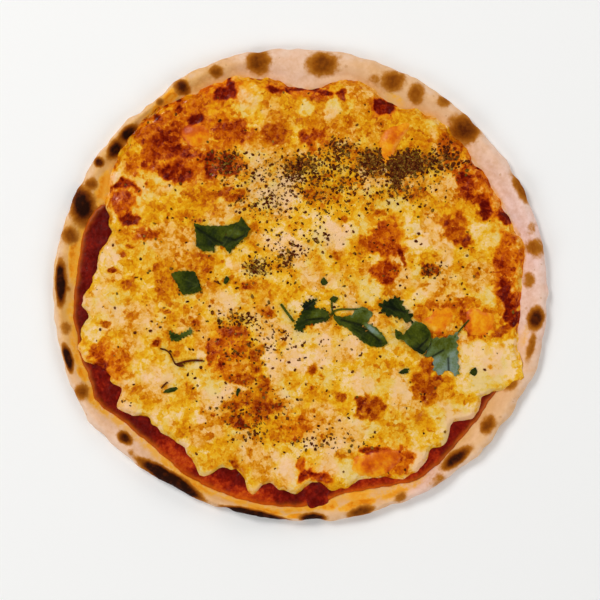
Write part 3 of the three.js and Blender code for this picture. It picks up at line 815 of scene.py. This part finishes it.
def makeCheese():
    bm = bmesh.new()
    bmesh.ops.create_grid(bm, x_segments=cheese["cells"], y_segments=cheese["cells"], size=1)
    for _ in range(2):    # the edge turned down, then in
        rim = [edge for edge in bm.edges if edge.is_boundary]
        grown = bmesh.ops.extrude_edge_only(bm, edges=rim)["geom"]
        lower = [item for item in grown if isinstance(item, bmesh.types.BMVert)]
        bmesh.ops.translate(bm, verts=lower, vec=(0, 0, -1))
    bmesh.ops.contextual_create(bm, geom=[edge for edge in bm.edges if edge.is_boundary])
    bmesh.ops.recalc_face_normals(bm, faces=bm.faces)
    mesh = meshFrom(bm, "cheese")

    # the square sheet becomes a round one, then takes the outline
    u, v, low = (pointsOf(mesh) * mm).T
    x, y = u * np.sqrt(1 - v * v / 2), v * np.sqrt(1 - u * u / 2)
    turnedDown, turnedIn = low < -0.5, low < -1.5
    angle, share = polar(x, y)
    share = np.where(turnedDown, share * 0.985, share * (1.3 - 0.3 * share))
    share = np.where(turnedIn, share * 0.9, share)
    edge = cheeseEdge(angle)
    ragX, ragY = fromPolar(angle, edge)
    edge = edge + lumps(ragX, ragY, 8, 51) * 1.5 + lumps(ragX, ragY, 3.6, 53) * 0.4
    radius = share * edge
    x, y = fromPolar(angle, radius)
    inside = np.clip((edge - radius) / cheese["rounding"], 0, 1)
    rolled = 0.35 * np.sqrt(1 - (1 - inside) ** 2) + 0.65 * smooth(-0.15, 1, inside)
    closed = covered(angle)
    rolled += (smooth(0, 5, edge - radius) - rolled) * closed
    # the edge sinks into the sauce or the crust, and the sheet climbs the rim in a smooth curve
    dough = crustTop(angle, radius)
    inSauce, inDough = sauceHigh - cheese["sunk"], dough - cheese["underlap"]
    foot = inSauce + (inDough - inSauce) * closed
    top = cheeseTop(x, y)
    overRim = dough + 1.0
    climbing = (top + overRim + np.hypot(top - overRim, 1.6)) / 2 - 0.2
    top = top + (np.maximum(climbing, top) - top) * smooth(-9, -1, radius - dishEdge(angle))
    top = foot + (top - foot) * rolled
    z = np.where(turnedDown, foot - 0.3, top)
    z = np.where(turnedIn, cheeseLow - 0.8, z)
    placePoints(mesh, np.column_stack([x, y, z]))

    free = (1 - closed) * (1 - smooth(1, 8, edge - radius)) * smooth(-0.6, 0.5, lumps(x, y, 12, 67))
    paint(mesh, "browning", browningAt(x, y) - cheese["paleEdge"] * free)
    move = wobbled(x, y, 61.0, 2.2)
    dust = [(1 - smooth(0.5, 1.3, away(x + move[0], y + move[1], field))) * field[6]
            for field in herbs["fields"]]
    paint(mesh, "dust", np.max(dust, axis=0))
    paint(mesh, "reddened", strongest(x, y, move, cheese["reddened"], 0.45))
    paint(mesh, "lemon", smooth(-0.1, 0.5, lumps(x, y, 24, 75) + 0.3 * lumps(x, y, 8, 77)))
    paint(mesh, "rosy", smooth(-0.1, 0.5, lumps(x, y, 19, 71) + 0.4 * lumps(x, y, 6, 73)))
    finished(mesh, "melted_cheese_sheet", cheeseMaterial(), "cheese", "melted_cheese")


# the cheese's colour by how browned it is, and where tomato oil has reddened it
browningStops = [
    (0.0, colour(248, 208, 152)), (1.0, colour(88, 8, 0)), (0.1, colour(242, 198, 104)),
    (0.22, colour(238, 182, 30)), (0.36, colour(228, 154, 6)), (0.52, colour(204, 112, 2)),
    (0.68, colour(168, 68, 1)), (0.84, colour(124, 32, 0)),
]
redStops = [
    (0.0, colour(240, 204, 140)), (1.0, colour(92, 6, 0)), (0.14, colour(242, 186, 70)),
    (0.3, colour(240, 158, 14)), (0.46, colour(224, 112, 4)), (0.6, colour(196, 76, 2)),
    (0.78, colour(146, 34, 1)), (0.9, colour(112, 14, 0)),
]


def cheeseMaterial():
    material, tree, shader = newMaterial("melted cheese", Roughness=0.42, Specular_IOR_Level=0.07,
                                         Coat_Roughness=0.1)
    wide = useGroup(tree, mottle, Size=6.0, Shift=11.0)
    fine = useGroup(tree, mottle, Size=1.6, Shift=12.0)
    tone = painted(tree, "browning")
    clots = plus(tree, useGroup(tree, curds, Size=5.0), useGroup(tree, curds, Size=2.4))
    tone = varied(tree, tone, clots, 0.22, 1.0)
    tone = varied(tree, varied(tree, tone, wide, 0.1), fine, 0.14)
    dots = useGroup(tree, specks, Size=7.0, Amount=0.3, Radius=0.3)
    tone = plus(tree, tone, times(tree, dots, 0.22))
    shade = rampOf(tree, tone, browningStops)
    shade = mixed(tree, painted(tree, "reddened"), shade, rampOf(tree, tone, redStops))
    lemony = times(tree, painted(tree, "lemon"), stretched(tree, tone, 0.05, 0.4, 0.5, 0.0))
    shade = mixed(tree, lemony, shade, colour(226, 198, 104))
    blush = times(tree, painted(tree, "rosy"), stretched(tree, tone, 0.1, 0.45, 0.55, 0.0))
    shade = mixed(tree, blush, shade, colour(247, 194, 152))
    peppery = useGroup(tree, specks, Size=1.5, Amount=painted(tree, "dust"), Radius=0.4)
    shade = mixed(tree, times(tree, peppery, 0.75), shade, colour(74, 32, 10))
    dusty = times(tree, calc(tree, "POWER", painted(tree, "dust"), 1.5),
                 stretched(tree, wide, 0.1, 0.9, 0.3, 1.0))
    shade = mixed(tree, dusty, shade, colour(84, 48, 12))
    feed(tree, shader.inputs["Base Color"], shade)
    feed(tree, shader.inputs["Roughness"], stretched(tree, tone, 0.1, 0.8, 0.46, 0.26))
    wet = useGroup(tree, mottle, Size=8.0, Shift=14.0)
    feed(tree, shader.inputs["Coat Weight"], stretched(tree, wet, 0.55, 0.95, 0.02, 0.45))
    grain = plus(tree, useGroup(tree, bakedGrain, Size=2.6, Pits=0.3), times(tree, clots, 0.5))
    addBump(tree, shader, grain, 0.6, 0.6)
    return material


makeCheese()
print("cheese made")


def makeHerbs():
    chance = np.random.default_rng(herbs["seed"])
    bm = bmesh.new()
    bmesh.ops.create_icosphere(bm, subdivisions=1, radius=1)
    chip = meshFrom(bm, "chip")
    shape = pointsOf(chip) * mm
    x, y = [], []
    for fieldX, fieldY, along, across, turn, count, _ in herbs["fields"]:
        spread = np.sqrt(-np.log(1 - 0.97 * chance.random(count))) * 0.68
        bearing = chance.random(count) * math.tau
        x.extend(fieldX + along * spread * np.cos(bearing))
        y.extend(fieldY + across * spread * np.sin(bearing))
    x, y = np.array(x), np.array(y)
    angle, radius = polar(x, y)
    kept = radius < cheeseEdge(angle) - herbs["margin"]
    x, y = x[kept], y[kept]
    z = cheeseTop(x, y)

    count, corners = len(x), len(shape)
    bm = bmesh.new()
    for _ in range(count):
        bm.from_mesh(chip)
    joined = meshFrom(bm, "herbs")
    length = chance.uniform(*herbs["length"], count) ** 1.4
    width = length * chance.uniform(0.4, 0.9, count)
    depth = length * chance.uniform(0.2, 0.4, count)
    turn = chance.random(count) * math.tau
    tilt = chance.normal(0, 0.25, (count, 2))
    local = shape[None] * (1 + chance.normal(0, 0.16, (count, corners, 1)))
    u = local[..., 0] * length[:, None]
    v = local[..., 1] * width[:, None]
    w = local[..., 2] * depth[:, None] + u * tilt[:, :1] + v * tilt[:, 1:]
    cos, sin = np.cos(turn)[:, None], np.sin(turn)[:, None]
    points = np.stack([
        x[:, None] + u * cos - v * sin,
        y[:, None] + u * sin + v * cos,
        z[:, None] + depth[:, None] * 0.5 + w,
    ], axis=-1)
    placePoints(joined, points.reshape(-1, 3))
    paint(joined, "shade", np.repeat(chance.random(count), corners))
    finished(joined, "dried_herbs_and_pepper", herbMaterial(), "parsley")
    bpy.data.meshes.remove(chip)


def herbMaterial():
    material, tree, shader = newMaterial("dried herbs and pepper", Roughness=0.9, Specular_IOR_Level=0.05)
    tint = rampOf(tree, painted(tree, "shade"), [
        (0.0, colour(70, 20, 7)), (1.0, colour(172, 130, 52)), (0.35, colour(100, 42, 13)),
        (0.6, colour(124, 66, 20)), (0.8, colour(116, 86, 22)), (0.92, colour(152, 104, 36)),
    ])
    fine = useGroup(tree, mottle, Size=0.8, Shift=31.0)
    tint = mixed(tree, times(tree, fine, 0.4), tint, colour(52, 16, 4))
    feed(tree, shader.inputs["Base Color"], tint)
    return material


makeHerbs()
print("herbs made")


tomatoes = {
    "swollen": 1.06,                  # how much wider they are than their CAD solids
    "sunkPiece": "tomato_piece_6",    # lies in the sauce, redder than the others
    "sunkHeight": 0.32,               # the share of its height that it keeps
    # browning on the cheese's own scale, how creased the surface and how ragged the outline is, and
    # how far the sides take the colour of the cheese beside them
    "pieces": {
        "tomato_piece_1": {"browning": 0.47, "crease": 0.7, "ragged": 0.14, "blend": 0.8},
        "tomato_piece_2": {"browning": 0.28, "crease": 0.8, "ragged": 0.14, "blend": 0.8},
        "tomato_piece_3": {"browning": 0.31, "crease": 0.5, "ragged": 0.14, "blend": 0.8},
        "tomato_piece_4": {"browning": 0.4, "crease": 0.4, "ragged": 0.14, "blend": 0.7},
        "tomato_piece_5": {"browning": 0.46, "crease": 0.4, "ragged": 0.14, "blend": 1},
        "tomato_piece_6": {"browning": 0.92, "crease": 1.3, "ragged": 0.32, "blend": 0},
    },
}


def makeTomatoes():
    material = tomatoMaterial()
    for index, (node, look) in enumerate(tomatoes["pieces"].items()):
        bm = bmesh.new()
        bm.from_mesh(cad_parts[node].data)
        bmesh.ops.remove_doubles(bm, verts=bm.verts, dist=0.02 * mm)
        bmesh.ops.recalc_face_normals(bm, faces=bm.faces)
        for _ in range(2):
            bmesh.ops.subdivide_edges(bm, edges=bm.edges, cuts=1, use_grid_fill=True)
            for _ in range(3):
                bmesh.ops.smooth_vert(bm, verts=bm.verts, factor=0.5,
                                      use_axis_x=True, use_axis_y=True, use_axis_z=True)
        mesh = meshFrom(bm, node)
        x, y, z = pointsOf(mesh).T
        crease = lumps(x, y, 7, index * 5 + 81) * 0.6 + lumps(x, y, 3, index * 5 + 83) * 0.3
        middleX, middleY = x.mean(), y.mean()
        grown = tomatoes["swollen"] + look["ragged"] * lumps(x, y, 8, index * 7 + 87)
        x = middleX + (x - middleX) * grown
        y = middleY + (y - middleY) * grown
        z = z + crease * look["crease"]
        if node == tomatoes["sunkPiece"]:
            level = sauceHigh - 1
            z = level + (z - level) * tomatoes["sunkHeight"]
        placePoints(mesh, np.column_stack([x, y, z]))
        tone = look["browning"] + 0.12 * lumps(x, y, 6, index * 3 + 91)
        low = 1 - smooth(0.1, 1.5, z - cheeseTop(x, y, False))
        paint(mesh, "browning", tone + (browningAt(x, y) - tone) * low * look["blend"])
        flesh = material
        if node == tomatoes["sunkPiece"]:
            paint(mesh, "bright", 0.25 + 0.5 * lumps(x, y, 6, 95))
            paint(mesh, "rim", np.zeros(len(x)))
            flesh = bpy.data.materials["cooked tomato sauce"]
        finished(mesh, node + "_soft", flesh, "tomato", node)


def tomatoMaterial():
    material, tree, shader = newMaterial("baked tomato", Roughness=0.4, Specular_IOR_Level=0.1,
                                         Coat_Weight=0.1, Coat_Roughness=0.25)
    wide = useGroup(tree, mottle, Size=5.0, Shift=21.0)
    fine = useGroup(tree, mottle, Size=1.6, Shift=22.0)
    tone = varied(tree, varied(tree, painted(tree, "browning"), wide, 0.16), fine, 0.08)
    feed(tree, shader.inputs["Base Color"], rampOf(tree, tone, redStops))
    feed(tree, shader.inputs["Roughness"], stretched(tree, fine, 0.0, 1.0, 0.32, 0.5))
    flesh = useGroup(tree, bakedGrain, Size=3.0, Pits=0.2)
    addBump(tree, shader, flesh, 0.3, 0.5)
    return material


makeTomatoes()
print("tomato pieces made")


parsley = {
    # sizes in mm
    "cell": 0.55,          # spacing of a leaf's points
    "thickness": 0.3,
    "clearance": 0.55,     # above the cheese, on average
    "nearest": 0.25,       # and at the least
    "veinDepth": 0.18,
    "foldDepth": 0.7,
    "foldWidth": 0.75,
    "bitsPale": 0.28,      # how pale the bits of leaf and the stalks are
    "stalksPale": 0.45,
    "bitsThickness": 0.3,
    # the foot of each leaf's stem, how far its sides curl, how pale it is, how far it is raised,
    # spacing and depth of its teeth, folds by their ends, which dip the leaf and are painted near-black as
    # shade, and paler parts, which are painted sheen, and darker parts: x, y, half length, half width, turn,
    # amount
    "leaves": {
        "parsley_leaf_1": {
            "foot": (-50, 22), "curl": 2.2, "pale": 0.29, "lift": 0.3, "teeth": (3.2, 0.5),
            "folds": [
                ((-65, 36), (-58, 31)), ((-58, 31), (-49, 26)),
                ((-47, 30), (-41, 28)), ((-41, 28), (-35, 31)),
            ],
            "sheenAndDarkParts": [(-42, 34, 9, 5, 0, 0.1), (-59, 26, 5, 4, 0, -0.06)],
        },
        "parsley_leaf_2": {
            "foot": (-64, 0), "curl": 1.2, "pale": 0.24, "lift": 0.3, "teeth": (2.6, 0.6),
            "folds": [], "sheenAndDarkParts": [],
        },
        "parsley_leaf_3": {
            "foot": (-68, -30), "curl": 0.9, "pale": 0.4, "lift": 0.2, "teeth": (2.2, 1.2), "folds": [],
            "sheenAndDarkParts": [(-79, -32, 3, 2, 0, -0.15)],
        },
        "parsley_leaf_4": {
            "foot": (18, -18), "curl": 1.6, "pale": 0.2, "lift": 0.2, "teeth": (2.4, 1.4),
            "folds": [((4, -22), (14, -21)), ((1, -16), (9, -10))], "sheenAndDarkParts": [(12, -18, 8, 3, 0, 0.3)],
        },
        "parsley_leaf_5": {
            "foot": (21, -20), "curl": 1.6, "pale": 0.4, "lift": 0.3, "teeth": (3.4, 0.6),
            "folds": [((26, -22), (38, -25)), ((38, -25), (50, -35))],
            "sheenAndDarkParts": [(37, -18, 9, 4, 0, 0.24), (46, -29, 8, 1.8, -40, 0.45), (42, -33, 12, 3, -40, -0.1)],
        },
        "parsley_leaf_6": {
            "foot": (70, -24), "curl": 1.4, "pale": 0.14, "lift": 0.2, "teeth": (3.4, 2.4),
            "folds": [((53, -13), (66, -17))], "sheenAndDarkParts": [(66, -18, 5, 4, -50, 0.08)],
        },
        "parsley_leaf_7": {
            "foot": (78, -41), "curl": 1.6, "pale": 0.4, "lift": 1.5, "teeth": (4.0, 0.5),
            "folds": [((74, -40), (80, -34))], "sheenAndDarkParts": [(76, -40, 6, 3, 0, -0.3), (72, -29, 6, 5, 0, 0.06)],
        },
        "parsley_leaf_8": {
            "foot": (90, -30), "curl": 1.4, "pale": 0.62, "lift": 0.0, "teeth": (4.4, 1.5),
            "folds": [((93, -46), (93.5, -58)), ((90, -41), (83, -45))],
            "sheenAndDarkParts": [(88, -50, 6, 6, 0, 0.32), (96, -50, 4, 9, 0, 0.34), (84, -41, 5, 3, 30, 0.1)],
        },
    },
    # bits of leaf: x, y, length, width, turn
    "bits": [
        (-46, 3, 6, 3.6, 70), (15, 2, 5, 4.4, 0), (22, -9, 7, 5, 30), (66, -54, 9, 3.6, 10),
        (109, -55, 6, 5, 40), (-81, -66, 9, 3.4, 15), (-39, -67, 5, 2.8, 80), (62, -31, 4, 3, 0),
    ],
    # stalks by their points, with a radius
    "stalks": [
        (0.8, [(-12, -12), (-10, -15), (-7, -19), (-4, -23)]),
        (0.55, [(19, -19), (21, -16), (26, -15), (32, -15.5), (38, -15), (41, -17)]),
        (0.5, [(20, -10), (19.5, -14), (20, -20), (25, -21)]),
        (0.5, [(97, -33), (99, -30), (102, -26), (106, -22)]),
    ],
    "twigs": [
        (0.5, [(-88, -40), (-84, -40.5), (-81, -43), (-80, -47), (-78, -50)]),
        (0.65, [(-78, -50), (-73, -48), (-68, -47), (-61, -47.5)]),
        (0.8, [(-77, -50), (-75, -51), (-73, -50.5)]),
        (0.45, [(-54, 2.5), (-52, 1.5), (-50, 0.5)]),
        (0.5, [(-83, -61), (-86, -63), (-87, -65)]),
    ],
}


def leafOutline(node):
    # the corners of a leaf's upper side, in order
    bm = bmesh.new()
    bm.from_mesh(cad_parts[node].data)
    bmesh.ops.remove_doubles(bm, verts=bm.verts, dist=0.01 * mm)
    bm.normal_update()
    upper = {face for face in bm.faces if face.normal.z > 0.3}
    border = [edge for edge in bm.edges if sum(face in upper for face in edge.link_faces) == 1]
    beside = {}
    for edge in border:
        for vert in edge.verts:
            beside.setdefault(vert, []).append(edge.other_vert(vert))
    start = border[0].verts[0]
    ring, last = [start], None
    while True:
        following = [vert for vert in beside[ring[-1]] if vert is not last][0]
        if following is start:
            break
        last = ring[-1]
        ring.append(following)
    corners = np.array([(vert.co.x / mm, vert.co.y / mm) for vert in ring])
    bm.free()
    return corners


def toothed(corners, seed, spacing, depth):
    # a finer outline with small pointed teeth between the corners
    fine = []
    for index, start in enumerate(corners):
        end = corners[(index + 1) % len(corners)]
        length = math.dist(start, end)
        count = max(1, round(length / spacing * 2))
        normal = np.array([end[1] - start[1], start[0] - end[0]]) / length
        for step in range(count):
            share = step / count
            swell = math.sin(math.pi * share) * length * 0.06
            tooth = depth * (0.5 if step % 2 else -0.5) if step else 0
            drift = noise.noise((start[0] + share * 5, seed, start[1])) * 0.4
            fine.append(start + (end - start) * share + normal * (swell + tooth + drift))
    return np.array(fine)


def insideOutline(x, y, outline):
    within = np.zeros(len(x), bool)
    for a, b in zip(outline, np.roll(outline, -1, axis=0)):
        crosses = (a[1] > y) != (b[1] > y)
        at = a[0] + (y - a[1]) * (b[0] - a[0]) / (b[1] - a[1] + 1e-12)
        within ^= crosses & (x < at)
    return within


def nearestOnOutline(x, y, outline):
    # nearest point of the outline and its distance
    best = np.full(len(x), 1e9)
    bestX, bestY = x.copy(), y.copy()
    for a, b in zip(outline, np.roll(outline, -1, axis=0)):
        side = b - a
        share = np.clip(((x - a[0]) * side[0] + (y - a[1]) * side[1]) / (side @ side + 1e-12), 0, 1)
        nearX, nearY = a[0] + share * side[0], a[1] + share * side[1]
        distance = np.hypot(x - nearX, y - nearY)
        closer = distance < best
        best[closer], bestX[closer], bestY[closer] = distance[closer], nearX[closer], nearY[closer]
    return bestX, bestY, best


def distanceToLine(x, y, start, end):
    # distance to a stretch of line, and how far along it the nearest point is
    side = np.subtract(end, start)
    share = np.clip(((x - start[0]) * side[0] + (y - start[1]) * side[1]) / (side @ side), 0, 1)
    return np.hypot(x - start[0] - share * side[0], y - start[1] - share * side[1]), share


def makeLeaf(node, look, seed, material):
    corners = leafOutline(node)
    outline = toothed(corners, seed, *look["teeth"])
    low, high = outline.min(axis=0) - 1, outline.max(axis=0) + 1
    centre, half = (low + high) / 2, (high - low) / 2
    bm = bmesh.new()
    bmesh.ops.create_grid(bm, x_segments=int(2 * half[0] / parsley["cell"]),
                          y_segments=int(2 * half[1] / parsley["cell"]), size=1)
    bmesh.ops.scale(bm, verts=bm.verts, vec=(half[0] * mm, half[1] * mm, 1))
    bmesh.ops.translate(bm, verts=bm.verts, vec=(centre[0] * mm, centre[1] * mm, 0))
    middles = np.array([face.calc_center_median() for face in bm.faces]) / mm
    within = insideOutline(middles[:, 0], middles[:, 1], outline)
    outside = [face for face, keep in zip(list(bm.faces), within) if not keep]
    bmesh.ops.delete(bm, geom=outside, context="FACES")
    rim = [vert for vert in bm.verts if vert.is_boundary]
    places = np.array([vert.co for vert in rim]) / mm
    nearX, nearY, _ = nearestOnOutline(places[:, 0], places[:, 1], outline)
    for vert, newX, newY in zip(rim, nearX, nearY):
        vert.co.x, vert.co.y = newX * mm, newY * mm
    mesh = meshFrom(bm, node)
    x, y, _ = pointsOf(mesh).T
    foot = np.array(look["foot"], float)
    reach = max(math.dist(foot, corner) for corner in corners)
    vein = np.zeros(len(x))
    for corner in corners:
        if math.dist(foot, corner) > 0.45 * reach:
            gap, share = distanceToLine(x, y, foot, foot + (corner - foot) * 0.93)
            vein = np.maximum(vein, bell(gap, 0.42 - 0.22 * share) * (1 - 0.4 * share))
    _, _, margin = nearestOnOutline(x, y, outline)
    spread = np.hypot(x - x.mean(), y - y.mean()) / half.max()
    height = cheeseTop(x, y, False) + parsley["clearance"] + look["lift"]
    waves = 0.35 * lumps(x, y, 9, seed) + 0.2 * lumps(x, y, 4, seed + 2)
    height += look["curl"] * (0.55 * spread ** 2 + waves)
    # each fold dips the leaf and is also painted near-black: painted shade in the crease
    foldWithShade = np.zeros(len(x))
    for start, end in look["folds"]:
        gap, _ = distanceToLine(x, y, start, end)
        foldWithShade = np.maximum(foldWithShade, bell(gap, parsley["foldWidth"]))
    height -= parsley["veinDepth"] * vein + parsley["foldDepth"] * foldWithShade
    height = np.maximum(height, cheeseTop(x, y) + parsley["nearest"])
    placePoints(mesh, np.column_stack([x, y, height]))
    paint(mesh, "vein", vein)
    paint(mesh, "foldWithShade", foldWithShade)
    pale = look["pale"] + 0.14 * lumps(x, y, 8, seed + 5) + 0.1 * np.exp(-margin / 0.8)
    # paler parts add a painted sheen to the leaf's green, and darker parts darken it
    for part in look["sheenAndDarkParts"]:
        pale = pale + part[5] * (1 - smooth(0.5, 1.4, away(x, y, part)))
    paint(mesh, "pale", pale)
    bm = bmesh.new()
    bm.from_mesh(mesh)
    bmesh.ops.solidify(bm, geom=bm.faces, thickness=parsley["thickness"] * mm)
    bm.to_mesh(mesh)
    bm.free()
    finished(mesh, node + "_fresh", material, "parsley", node)


def makeLeafBits(material):
    chance = np.random.default_rng(7)
    bm = bmesh.new()
    for bitX, bitY, length, width, turn in parsley["bits"]:
        made = bmesh.ops.create_circle(bm, cap_ends=True, segments=7, radius=0.5 * mm)["verts"]
        faces = list({face for vert in made for face in vert.link_faces})
        for vert in made:
            vert.co *= 1 + chance.normal(0, 0.24)
        inner = bmesh.ops.inset_region(bm, faces=faces, thickness=0.14 * mm)["faces"]
        verts = list({vert for face in faces + inner for vert in face.verts})
        for face in faces:
            for vert in face.verts:
                vert.co.z += 0.05 * mm
        bmesh.ops.scale(bm, verts=verts, vec=(length, width, 8))
        turned = Matrix.Rotation(math.radians(turn), 3, "Z")
        bmesh.ops.rotate(bm, verts=verts, cent=(0, 0, 0), matrix=turned)
        level = float(cheeseTop(bitX, bitY)[0])
        bmesh.ops.translate(bm, verts=verts, vec=(bitX * mm, bitY * mm, (level + 0.4) * mm))
    bmesh.ops.recalc_face_normals(bm, faces=bm.faces)
    bmesh.ops.solidify(bm, geom=bm.faces, thickness=parsley["bitsThickness"] * mm)
    bmesh.ops.bevel(bm, geom=[edge for edge in bm.edges if edge.calc_length() > 0.4 * mm],
                    offset=0.08 * mm, segments=1, profile=0.5, affect="EDGES", material=-1)
    mesh = meshFrom(bm, "leaf bits")
    paint(mesh, "pale", np.full(len(mesh.vertices), parsley["bitsPale"]))
    finished(mesh, "parsley_bits", material, "parsley")


def tubeMesh(name, routes):
    # thin round stems along their points, lying on the cheese
    bm = bmesh.new()
    for radius, route in routes:
        curve = bpy.data.curves.new("stalk", "CURVE")
        curve.dimensions = "3D"
        curve.bevel_depth = radius * mm
        curve.bevel_resolution = 3
        curve.use_fill_caps = True
        spline = curve.splines.new("NURBS")
        spline.points.add(len(route) - 1)
        spline.use_endpoint_u = True
        spline.order_u = 4
        for point, (x, y) in zip(spline.points, route):
            point.co = (x * mm, y * mm, (float(cheeseTop(x, y)[0]) + radius + 0.2) * mm, 1)
        stalk = bpy.data.objects.new("stalk", curve)
        shape = stalk.to_mesh()
        bm.from_mesh(shape)
        stalk.to_mesh_clear()
        bpy.data.objects.remove(stalk)
    bmesh.ops.recalc_face_normals(bm, faces=bm.faces)
    return meshFrom(bm, name)


def makeStalks(material):
    stalks = tubeMesh("stalks", parsley["stalks"])
    paint(stalks, "pale", np.full(len(stalks.vertices), parsley["stalksPale"]))
    finished(stalks, "parsley_stalks", material, "parsley")
    twigs = tubeMesh("twigs", parsley["twigs"])
    paint(twigs, "shade", 0.3 + 0.3 * lumps(*pointsOf(twigs)[:, :2].T, 4, 9))
    finished(twigs, "dry_twigs", bpy.data.materials["dried herbs and pepper"], "parsley")


def parsleyMaterial():
    material, tree, shader = newMaterial("fresh parsley", Roughness=0.5, Specular_IOR_Level=0.08)
    wide = useGroup(tree, mottle, Size=5.0, Shift=41.0)
    fine = useGroup(tree, mottle, Size=1.2, Shift=42.0)
    tone = varied(tree, varied(tree, painted(tree, "pale"), wide, 0.24), fine, 0.14)
    green = rampOf(tree, tone, [(0.0, colour(10, 20, 1)), (1.0, colour(124, 142, 128)),
                                (0.25, colour(36, 46, 1)), (0.5, colour(70, 78, 4)),
                                (0.75, colour(94, 110, 62))])
    green = mixed(tree, times(tree, painted(tree, "vein"), 0.14), green, colour(120, 130, 50))
    # painted shade: the folds darkened almost to black
    green = mixed(tree, times(tree, painted(tree, "foldWithShade"), 0.9), green, colour(8, 12, 1))
    feed(tree, shader.inputs["Base Color"], green)
    blade = calc(tree, "SUBTRACT", useGroup(tree, bakedGrain, Size=1.1, Pits=0.3),
                 times(tree, painted(tree, "vein"), 0.6))
    addBump(tree, shader, blade, 0.5, 0.35)
    return material


def makeParsley():
    material = parsleyMaterial()
    for index, (node, look) in enumerate(parsley["leaves"].items()):
        makeLeaf(node, look, 101 + index * 3, material)
    makeLeafBits(material)
    makeStalks(material)


makeParsley()
print("parsley made")
